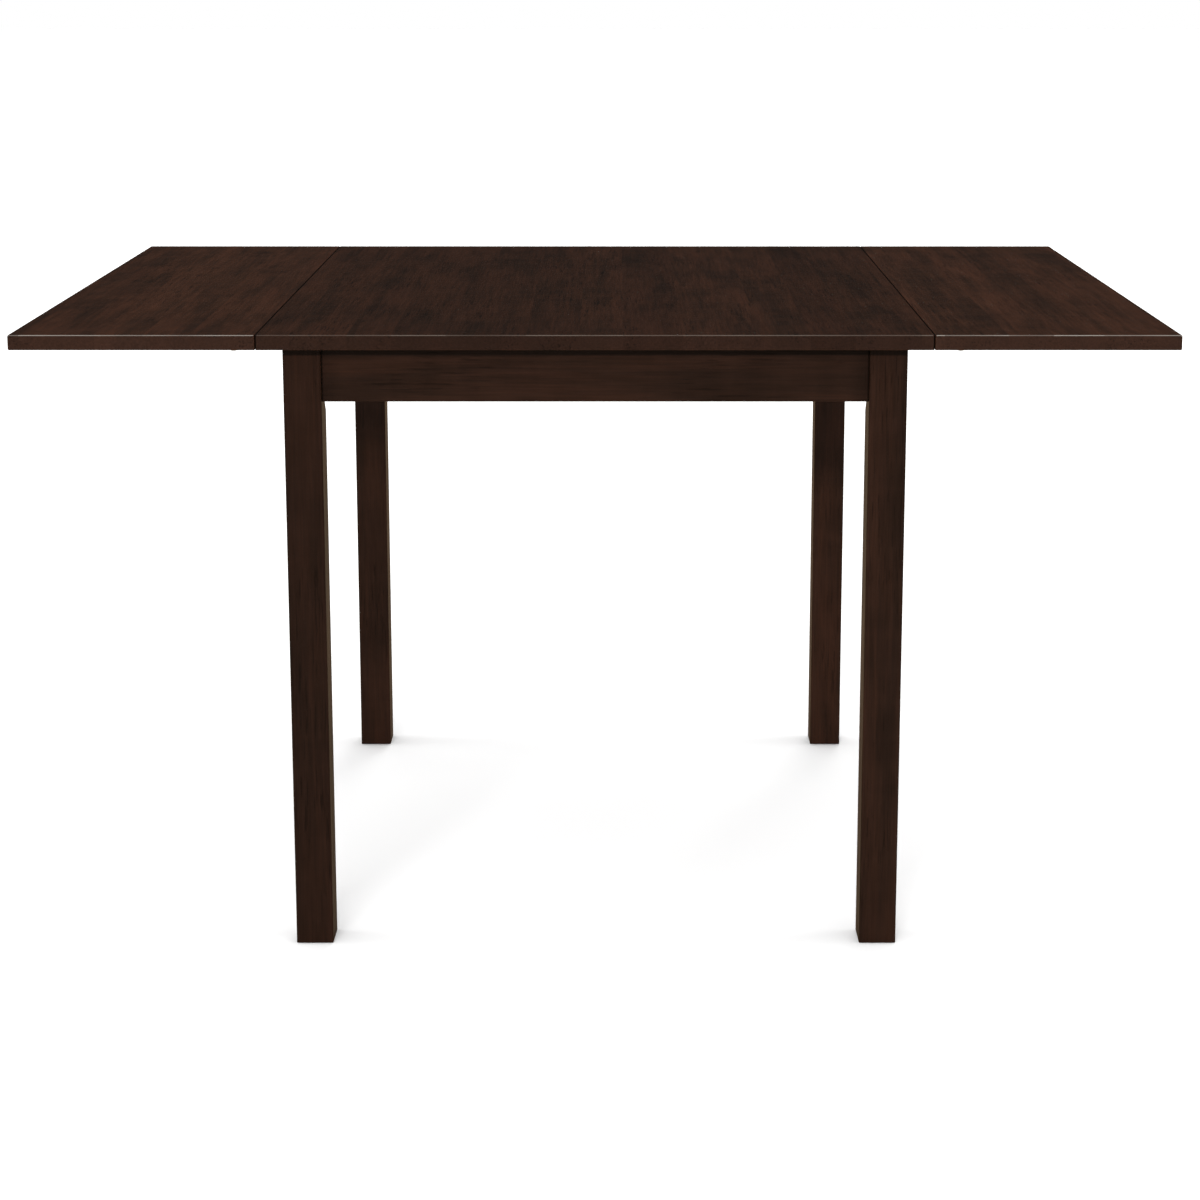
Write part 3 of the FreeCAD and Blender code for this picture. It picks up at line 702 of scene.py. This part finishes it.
def arm_rivet(length):
    """The knuckle's rivet, or the shorter one that holds the catch spring."""
    if length > short_rivet_limit:
        return headed(rivet, length)
    return headed(catch_rivet, length, both=False)


def threaded(low, high, crest, depth, pitch, sharp=1.0, tip=None):
    """Rings of a shank with a helical thread, which fades in and out and may narrow to a tip."""
    count = math.ceil((high - low) / pitch * thread_steps)
    rings = []
    for k in range(count + 1):
        w = low + (high - low) * k / count
        fade = min(1.0, (w - low) / pitch, (high - w) / pitch)
        taper = 1.0
        if tip:
            taper = min(1.0, tip / crest + (1 - tip / crest) * (high - w) / (tip_length_share * crest))
        ring = []
        for i in range(thread_sides):
            ridge = abs(2 * ((w / pitch - i / thread_sides) % 1.0) - 1) ** sharp
            radius = (crest - depth * (1 - ridge * fade)) * taper
            ring.append(around(radius, 2 * math.pi * i / thread_sides, w))
        rings.append(ring)
    return rings


def cross_screw(size, length):
    """A countersunk wood screw with a cross recess, its head's flat face at w = 0."""
    form = bmesh.new()
    head, shank = size["head"], size["shank"]
    core = shank * screw["core_share"]
    profile = [(0.0, head - screw["rim"]), (screw["rim_height"], head - screw["rim_edge"]),
               (size["head_height"], shank), (size["plain"], shank * screw["neck_share"])]
    helix = threaded(size["plain"] + screw["run_in"], length, shank, shank - core, size["pitch"],
                     wood_thread, screw["tip"])
    rows = skin(form, rings_of(profile, thread_sides) + helix, -1)
    reach, half = head * cross["reach_share"], head * cross["width_share"] / 2
    arm = [(reach, -half), (reach, half), (half, half)]
    outline = []
    for cos, sin in ((1, 0), (0, 1), (-1, 0), (0, -1)):
        outline += [(u * cos - v * sin, u * sin + v * cos) for u, v in arm]
    foot = cross["foot_share"]
    depth = size["head_height"] * cross["depth_share"]
    mouth = [(u, v, 0.0) for u, v in outline]
    bottom = [(u * foot, v * foot, depth) for u, v in outline]
    pocket = skin(form, [mouth, bottom], -1)
    fill(form, (rows[0], pocket[0]))
    return form


def narrowed(rings, end, end_share, run):
    """Rings drawn in to a share of their size at one end, and less so away from it."""
    result = []
    for ring in rings:
        share = min(1.0, end_share + abs(end - ring[0][2]) / run)
        result.append([(u * share, v * share, w) for u, v, w in ring])
    return result


def hanger_bolt(length):
    """A bolt with a wood thread in the leg and a machine thread outside, its wood end at w = 0."""
    inside = length - bolt["outside"]
    radius = bolt["radius"]
    wood = threaded(0.0, inside, radius, bolt["wood_depth"], bolt["wood_pitch"], wood_thread)
    machine = threaded(inside + bolt["run_in"], length, radius, bolt["thread_depth"], bolt["pitch"])
    return solid(narrowed(wood, 0.0, bolt["point_share"], bolt["point_length"])
                 + narrowed(machine, length, bolt["end_share"], bolt["end_length"]))


def hex_nut(height):
    """A hexagon nut, chamfered on both faces, with a bore."""
    flat = nut["radius"] * math.cos(math.pi / 6)
    face = flat * nut["face_share"]
    turns = [2 * math.pi * i / arc_sides for i in range(arc_sides)]
    reaches = [flat / math.cos(a % (math.pi / 3) - math.pi / 6) for a in turns]
    rings = []
    levels = [nut["chamfer"] * k / nut["chamfer_steps"] for k in range(nut["chamfer_steps"] + 1)]
    for w in levels + [height - w for w in reversed(levels)]:
        limit = face + min(w, height - w) * (nut["radius"] - face) / nut["chamfer"]
        rings.append([around(min(reach, limit), a, w) for a, reach in zip(turns, reaches)])
    hole, edge = nut["hole"], nut["bore_edge"]
    bore = [(0, hole + edge), (edge, hole), (height - edge, hole), (height, hole + edge)]
    return bored(rings, [rings_of(bore, arc_sides)])


def flat_washer(height):
    radius, hole, edge = washer["radius"], washer["hole"], washer["edge"]
    rim = [(0, radius - edge), (edge, radius), (height - edge, radius), (height, radius - edge)]
    return bored(rings_of(rim), [rings_of([(0, hole), (height, hole)])])


def foot_glide(length):
    radius, foot, height, nail = glide["radius"], glide["foot"], glide["height"], glide["nail"]
    rise = (radius - foot) * glide["rise_share"]
    turns = [math.pi / 2 * k / dome_steps for k in range(dome_steps + 1)]
    edge = [(rise * (1 - math.cos(t)), foot + (radius - foot) * math.sin(t)) for t in turns]
    point = [(length - glide["point_length"], nail), (length, glide["nail_point"])]
    return turned(edge + [(height, radius), (height, nail)] + point)


# Plates: flat blanks with eased edges, which may then be bent.

def tangent_turn(first, second):
    """The direction from either centre to its end of the outer tangent of two circles."""
    (u1, v1, r1), (u2, v2, r2) = first, second
    apart = math.hypot(u2 - u1, v2 - v1)
    du, dv = (u2 - u1) / apart, (v2 - v1) / apart
    lean = (r1 - r2) / apart
    square = math.sqrt(1 - lean * lean)
    return math.atan2(dv * lean - du * square, du * lean + dv * square)


def hull(circles, grow, w):
    """A ring round some circles (u, v, radius), taken anticlockwise."""
    count = len(circles)
    turns = [tangent_turn(circles[i], circles[(i + 1) % count]) for i in range(count)]
    ring = []
    for i, (u, v, radius) in enumerate(circles):
        swing = (turns[i] - turns[i - 1]) % (2 * math.pi)
        steps = max(1, math.ceil(swing * arc_sides / (2 * math.pi)))
        for k in range(steps + 1):
            a = turns[i - 1] + swing * k / steps
            ring.append(around(radius + grow, a, w, u, v))
    return ring


def plate(circles, holes, thickness):
    """A blank round some circles, from w = 0 down. Each hole is (u, v, near radius, far radius)."""
    edge = min(plate_edge, thickness / 4)
    levels = [(0.0, -edge), (-edge, 0.0), (edge - thickness, 0.0), (-thickness, -edge)]
    bores = []
    for u, v, near_radius, far_radius in holes:
        rings = []
        for w, grow in levels:
            radius = near_radius + (far_radius - near_radius) * -w / thickness - grow / 2
            rings.append(circle(radius, w, arc_sides // 2, u, v))
        bores.append(rings)
    return bored([hull(circles, grow, w) for w, grow in levels], bores)


def bent(form, thickness):
    """Bends a blank a quarter turn towards its outer face, from u = 0 on."""
    middle = bend_radius + thickness / 2
    arc = middle * math.pi / 2
    for k in range(bend_steps + 1):
        everything = form.verts[:] + form.edges[:] + form.faces[:]
        line = (arc * k / bend_steps, 0, 0)
        bmesh.ops.bisect_plane(form, geom=everything, dist=cut_within, plane_co=line, plane_no=(1, 0, 0))
    for corner in form.verts:
        u, v, w = corner.co
        if u > 0:
            a = min(u, arc) / middle
            reach = bend_radius - w
            past = max(0.0, u - arc)
            corner.co = (reach * math.sin(a), v, bend_radius - reach * math.cos(a) + past)
    return form


def new_object(name, data):
    made = bpy.data.objects.new(name, data)
    bpy.context.scene.collection.objects.link(made)
    return made


def as_object(name, forms):
    """One new object from some forms, each with its placing."""
    mesh = bpy.data.meshes.new(name)
    whole = bmesh.new()
    for form, place in forms:
        part = bpy.data.meshes.new("part")
        bmesh.ops.transform(form, matrix=place, verts=form.verts)
        bmesh.ops.recalc_face_normals(form, faces=form.faces)
        form.to_mesh(part)
        form.free()
        whole.from_mesh(part)
        bpy.data.meshes.remove(part)
    whole.to_mesh(mesh)
    whole.free()
    return new_object(name, mesh)


def carved(form, cutters):
    """A form with other forms, each with its placing, cut out of it. All are in millimetres."""
    blank = as_object("blank", [(form, Matrix())])
    tool = as_object("tool", cutters)
    cut = blank.modifiers.new("cut", "BOOLEAN")
    cut.operation = "DIFFERENCE"
    cut.solver = "EXACT"
    cut.object = tool
    result = bmesh.new()
    evaluated = blank.evaluated_get(bpy.context.evaluated_depsgraph_get())
    result.from_mesh(evaluated.to_mesh())
    for used in (blank, tool):
        bpy.data.objects.remove(used)
    return result


def fine_piece(node, forms, ending="_fine"):
    """One piece that stands for a CAD node, from forms in its frame, with the node's finish."""
    stood_for = frame["nodes"][node]
    piece = as_object(node + ending, forms)
    piece.data.shade_smooth()
    piece.data.set_sharp_from_angle(angle=sharp_from)
    piece.data.materials.append(stood_for.material_slots[0].material)
    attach(piece, stood_for["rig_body"])
    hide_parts(node)
    return piece


def turned_pieces(node, make, axis_of=None):
    """Replaces every turned solid of a node. Make takes its length, and axis_of its corners."""
    forms = []
    for corners in solids_of(node):
        start, direction, length = lie_of(corners, axis_of and axis_of(corners))
        forms.append((make(length), upright(start, direction)))
    fine_piece(node, forms)


def from_the_leg(corners):
    """The direction of a corner's bolt, from the leg to the middle of the table."""
    middle = middle_of(corners)
    return Vector((-math.copysign(1, middle.x), -math.copysign(1, middle.y), 0)).normalized()


def outward_along_y(corners):
    return Vector((0, math.copysign(1, middle_of(corners).y), 0))


def middle_of(corners):
    return sum(corners, Vector()) / len(corners)


def size_of(corners):
    middle = middle_of(corners)
    return max((corner - middle).length for corner in corners)


def corner_solid(node, side, end):
    """The largest solid of a node that lies on one side and at one end of the table."""
    here = [corners for corners in solids_of(node)
            if middle_of(corners).x * side > 0 and middle_of(corners).y * end > 0]
    return max(here, key=size_of)


def pivot_of(node, side, end):
    """The place (x, z) of a rivet or pin along Y, in millimetres."""
    middle = middle_of(corner_solid(node, side, end))
    return middle.x / millimetre, middle.z / millimetre


def between(low, place, high):
    return all(a < b < c for a, b, c in zip(low, place, high))


def screw_holes(plate_node, screws, origin, u, v):
    """A plate's holes for those screws of a node whose heads are in it, measured from an origin."""
    low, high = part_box(plate_node)
    near = Vector((millimetre,) * 3)
    holes = []
    for head in (lie_of(corners)[0] for corners in solids_of(screws)):
        if between(low - near, head, high + near):
            offset = (head - origin) / millimetre
            holes.append((offset.dot(Vector(u)), offset.dot(Vector(v)), *countersink))
    return holes


def thickness_of(node):
    low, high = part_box(node)
    return (high.y - low.y) / millimetre


def strap(node, ends, holes):
    """Replaces a flat strap that lies in an upright plane, with u along X and v along Z."""
    face = (0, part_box(node)[1].y, 0)
    blank = plate(ends, holes, thickness_of(node))
    fine_piece(node, [(blank, basis(face, (1, 0, 0), (0, 0, 1), (0, 1, 0)))])


def holes_at(places, radius):
    return [place + (radius, radius) for place in places]


def stay(side, end, name, leaf):
    """The long arm, link and catch of one stay, by its corner of the table. The catch's stud is a
    piece of its own."""
    apron_pivot = pivot_of("stay_frame_rivets", side, end)
    knuckle_pivot = pivot_of("stay_arm_rivets_" + name, side, end)
    leaf_pivot = pivot_of(leaf + "_rivets", side, end)
    root = min(solids_of("stay_arm_rivets_" + name), key=size_of)
    root_place = (middle_of(root).x / millimetre, middle_of(root).z / millimetre)
    unit = (Vector(apron_pivot) - Vector(knuckle_pivot)).normalized()
    across = Vector((-unit.y, unit.x)) * side
    stud_place = tuple(Vector(knuckle_pivot) + unit * stud["from_knuckle"])
    stud_hole = holes_at([stud_place], stud["hole"])
    root_hole = holes_at([root_place], catch_rivet["radius"] + rivet_fit)

    arm = "stay_arm_" + name
    ends = [apron_pivot + (strap_radius,), knuckle_pivot + (strap_radius,)]
    holes = holes_at([apron_pivot, knuckle_pivot], pivot_hole) + stud_hole + root_hole
    strap(arm, ends, holes)

    ends = [knuckle_pivot + (link_head_radius,), leaf_pivot + (strap_radius,)]
    strap("stay_link_" + name, ends, holes_at([knuckle_pivot, leaf_pivot], pivot_hole) + stud_hole)

    arm_face = min(abs(corner.y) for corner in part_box(arm)) * end
    strip = catch["thickness"]
    catch_face = arm_face - end * strip * millimetre
    tongue = plate([place + (catch["radius"],) for place in (root_place, stud_place)], root_hole, strip)
    rise = catch["stud_rise"]
    radius, tip = stud["radius"], stud["tip"]
    post = turned(domed(radius, tip, 0, 1) + [(rise - tip, radius), (rise, radius - tip)])
    post_start = Vector((stud_place[0] * millimetre, catch_face, stud_place[1] * millimetre))
    tab_start = Vector(knuckle_pivot) + unit * catch["tab_from"] + across * catch["tab_aside"]
    length, reach, corner = catch["tab_length"], catch["tab"], catch["tab_corner"]
    outline = [(strip, 0, strip / 2), (length - strip, 0, strip / 2),
               (length - corner, reach - corner, corner), (corner, reach - corner, corner)]
    tab = plate(outline, [], strip)
    tab_place = basis((tab_start.x * millimetre, catch_face, tab_start.y * millimetre),
                      (unit.x, 0, unit.y), (0, -end, 0), (across.x, 0, across.y))
    in_face = basis((0, arm_face, 0), (1, 0, 0), (0, 0, 1), (0, end, 0))
    spring = "stay_catch_" + name
    fine_piece(spring, [(tongue, in_face), (tab, tab_place)])
    spring_stud = fine_piece(spring, [(post, upright(post_start, Vector((0, end, 0))))], "_stud")
    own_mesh(spring_stud)


def main_axis(direction):
    return max(range(3), key=lambda axis: abs(direction[axis]))


def bracket(node, screws, pivot, ear, towards_ear, out):
    """An angle bracket bent from one blank, with its plate on the face that it points out from."""
    low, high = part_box(node)
    thickness = bracket_thickness
    sideways = Vector(out).cross(Vector(towards_ear))
    width_axis, out_axis = main_axis(sideways), main_axis(out)
    half = (high[width_axis] - low[width_axis]) / millimetre / 2
    ear_face = (high if towards_ear[1] > 0 else low).y
    carrier = (low if out[out_axis] > 0 else high)[out_axis]
    origin = (low + high) / 2
    origin.y = ear_face - towards_ear[1] * (bend_radius + thickness) * millimetre
    origin[out_axis] = carrier + out[out_axis] * thickness * millimetre
    reach = (high.y - low.y) / millimetre - bend_radius - thickness
    flat_pivot = Vector((pivot[0] * millimetre, origin.y, pivot[1] * millimetre)) - origin
    arc = (bend_radius + thickness / 2) * math.pi / 2
    ear_u = arc + flat_pivot.dot(Vector(out)) / millimetre - bend_radius
    ear_v = flat_pivot.dot(sideways) / millimetre
    foot = bracket_foot_corner
    circles = [(plate_corner - reach, plate_corner - half, plate_corner), (foot, foot - half, foot),
               (ear_u, ear_v, ear), (foot, half - foot, foot),
               (plate_corner - reach, half - plate_corner, plate_corner)]
    holes = [(ear_u, ear_v, pivot_hole, pivot_hole)]
    holes += screw_holes(node, screws, origin, towards_ear, sideways)
    blank = bent(plate(circles, holes, thickness), thickness)
    fine_piece(node, [(blank, basis(origin, towards_ear, sideways, out))])


def hinge_half(node, screws, side, end, turn):
    """A hinge plate with knuckles rolled from its edge. Turn is -1 for the centre board's plate."""
    low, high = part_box(node)
    axis_x, axis_z = pivot_of("hinge_pins", side, end)
    outward = side * turn
    far = abs((high.x if outward > 0 else low.x) / millimetre - axis_x)
    half = (high.y - low.y) / millimetre / 2
    middle = (low.y + high.y) / 2
    origin = Vector((axis_x * millimetre, middle, high.z - hinge_thickness * millimetre))
    corner, near, small = plate_corner, knuckle["clear"], knuckle["corner"]
    circles = [(near + small, small - half, small), (far - corner, corner - half, corner),
               (far - corner, half - corner, corner), (near + small, half - small, small)]
    holes = screw_holes(node, screws, origin, (outward, 0, 0), (0, 1, 0))
    leaf_place = basis(origin, (outward, 0, 0), (0, 1, 0), (0, 0, -1))
    forms = [(plate(circles, holes, hinge_thickness), leaf_place)]
    pin = (axis_x * millimetre, middle, axis_z * millimetre)
    round_pin = basis(pin, (outward, 0, 0), (0, 1, 0), (0, 0, 1))
    pitch = 2 * half / knuckle["count"]
    for index in range(knuckle["count"]):
        if (index % 2 == 1) == (turn > 0):
            start = index * pitch - half + knuckle["gap"] / 2
            forms.append((rolled_knuckle(start, start + pitch - knuckle["gap"]), round_pin))
    fine_piece(node, forms)


def rolled_knuckle(low, high):
    """A strip that leaves its plate and rolls round the pin, which is at u = 0 and w = 0."""
    half_wall = (knuckle["outer"] - knuckle["inner"]) / 2
    middle = (knuckle["outer"] + knuckle["inner"]) / 2
    edge = knuckle["edge"]
    inner = half_wall - edge
    outside = [(inner, low), (half_wall, low + edge), (half_wall, high - edge), (inner, high)]
    section = outside + [(-w, v) for w, v in reversed(outside)]
    rings = [[(knuckle["root"], v, middle + w) for w, v in section]]
    for k in range(round_sides + 1):
        a = math.radians(knuckle["roll"]) * k / round_sides
        rings.append([(-(middle + w) * math.sin(a), v, (middle + w) * math.cos(a)) for w, v in section])
    return solid(rings)


def corner_block(node, side, end):
    """A short sawn board across a corner, with eased edges and round holes for its fasteners."""
    low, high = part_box(node)
    corner = Vector((high.x if side > 0 else low.x, high.y if end > 0 else low.y, low.z)) / millimetre
    inner = (high.x - low.x) / millimetre
    outer = inner - block["thickness"] * math.sqrt(2)
    plan = [(outer, 0), (inner, 0), (0, inner), (0, outer)]
    form = solid([[(corner.x - side * u, corner.y - end * v, z) for u, v in plan]
                  for z in (corner.z, high.z / millimetre)])
    bmesh.ops.bevel(form, geom=form.edges[:], offset=block["edge"], segments=block["edge_steps"],
                    affect="EDGES", profile=block["edge_profile"])
    to_millimetres = Matrix.Scale(1 / millimetre, 4)
    cutters = []
    for corners in solids_of("hanger_bolts"):
        start, direction, length = lie_of(corners, from_the_leg(corners))
        if start.x * side > 0 and start.y * end > 0:
            hole = turned([(0, block["bolt_hole"]), (length, block["bolt_hole"])])
            cutters.append((hole, to_millimetres @ upright(start, direction)))
    fit, reach = block["screw_fit"], block["screw_reach"]
    head, shank = long_screw["head"] + fit, long_screw["shank"] + fit
    pocket = [(-reach, head), (fit, head), (long_screw["head_height"] + fit, shank), (reach, shank)]
    for corners in solids_of("frame_screws"):
        start, direction, _ = lie_of(corners)
        if between(low, start, high):
            cutters.append((turned(pocket), to_millimetres @ upright(start, direction)))
    fine_piece(node, [(carved(form, cutters), Matrix.Scale(millimetre, 4))])


turned_pieces("frame_screws", lambda length: cross_screw(long_screw, length))
for node in ("frame_hardware_screws", "left_leaf_screws", "right_leaf_screws"):
    turned_pieces(node, lambda length: cross_screw(short_screw, length))
turned_pieces("hanger_bolts", hanger_bolt, from_the_leg)
turned_pieces("bolt_washers", flat_washer, from_the_leg)
turned_pieces("bolt_nuts", hex_nut, from_the_leg)
turned_pieces("foot_glides", foot_glide, lambda corners: Vector((0, 0, 1)))
turned_pieces("hinge_pins", lambda length: headed(hinge_pin, length), outward_along_y)
for node in ("stay_frame_rivets", "left_leaf_rivets", "right_leaf_rivets"):
    turned_pieces(node, lambda length: headed(rivet, length), outward_along_y)
for name, leaf, side, end in quarters:
    corner_block("corner_block_" + name, side, end)
    stay(side, end, name, leaf)
    turned_pieces("stay_arm_rivets_" + name, arm_rivet, outward_along_y)
    pivot = pivot_of("stay_frame_rivets", side, end)
    bracket("stay_apron_bracket_" + name, "frame_hardware_screws", pivot, ear_radius["apron"],
            (0, end, 0), (side, 0, 0))
    pivot = pivot_of(leaf + "_rivets", side, end)
    bracket("stay_leaf_bracket_" + name, leaf + "_screws", pivot, ear_radius["leaf"],
            (0, -end, 0), (0, 0, -1))
    hinge_half("hinge_frame_plate_" + name, "frame_hardware_screws", side, end, -1)
    hinge_half("hinge_leaf_plate_" + name, leaf + "_screws", side, end, 1)


# The stage: a white floor, which polished surfaces mirror as a brown one.

mesh = bpy.data.meshes.new("floor")
far = floor_half_side
corners = [(-far, -far, 0), (far, -far, 0), (far, far, 0), (-far, far, 0)]
mesh.from_pydata(corners, [], [range(4)])
floor = new_object("floor", mesh)
graph = Graph("pale_floor")
mottle = graph.noise(floor_tones["size"])
colour = graph.mixed(mottle, (floor_tones["low"],) * 3, (floor_tones["high"],) * 3)
ray = graph.tree.nodes.new("ShaderNodeLightPath")
colour = graph.mixed(ray.outputs["Is Glossy Ray"], colour, floor_reflected)
mesh.materials.append(graph.finish(colour, floor_tones["roughness"], specular=0.0))

# A white dome, which polished surfaces see as dark near the horizon and light overhead.
world = bpy.data.worlds.new("studio")
bpy.context.scene.world = world
world.use_nodes = True
tree = world.node_tree
tree.nodes.clear()
output = tree.nodes.new("ShaderNodeOutputWorld")
ray = tree.nodes.new("ShaderNodeLightPath")
place = tree.nodes.new("ShaderNodeTexCoord")
parts = tree.nodes.new("ShaderNodeSeparateXYZ")
tree.links.new(place.outputs["Generated"], parts.inputs[0])


def sky(ramp=None, interpolation="LINEAR"):
    """White, or white whose strength follows the height by a ramp."""
    background = tree.nodes.new("ShaderNodeBackground")
    background.inputs["Color"].default_value = (1, 1, 1, 1)
    if ramp:
        node = tree.nodes.new("ShaderNodeMapRange")
        node.interpolation_type = interpolation
        for name, value in ramp.items():
            node.inputs[name].default_value = value
        tree.links.new(parts.outputs["Z"], node.inputs["Value"])
        tree.links.new(node.outputs["Result"], background.inputs["Strength"])
    return background.outputs[0]


def chosen(test, otherwise, shown):
    mix = tree.nodes.new("ShaderNodeMixShader")
    for target, source in zip(mix.inputs, (test, otherwise, shown)):
        tree.links.new(source, target)
    return mix.outputs[0]


lit = chosen(ray.outputs["Is Glossy Ray"], sky(dome_light), sky(dome_reflected, "SMOOTHSTEP"))
seen = chosen(ray.outputs["Is Camera Ray"], lit, sky())
tree.links.new(seen, output.inputs["Surface"])

lens = bpy.data.cameras.new("camera")
lens.lens = camera_lens
lens.shift_x, lens.shift_y = camera_shift
camera = new_object("camera", lens)
camera.location = camera_place
camera.rotation_euler = (math.radians(90) - camera_down, 0, 0)
bpy.context.scene.camera = camera

# Wide low lamps that polished surfaces don't mirror.
for name, (x, y, power) in lamps.items():
    light = bpy.data.lights.new(name, "AREA")
    light.shape = "RECTANGLE"
    light.size, light.size_y = lamp_size
    light.energy = power
    lamp = new_object(name, light)
    lamp.location = (x, y, lamp_height)
    lamp.rotation_euler = (Vector(lamp_target) - lamp.location).to_track_quat("-Z", "Y").to_euler()
    lamp.visible_glossy = False
bpy.context.scene.view_settings.view_transform = "Standard"
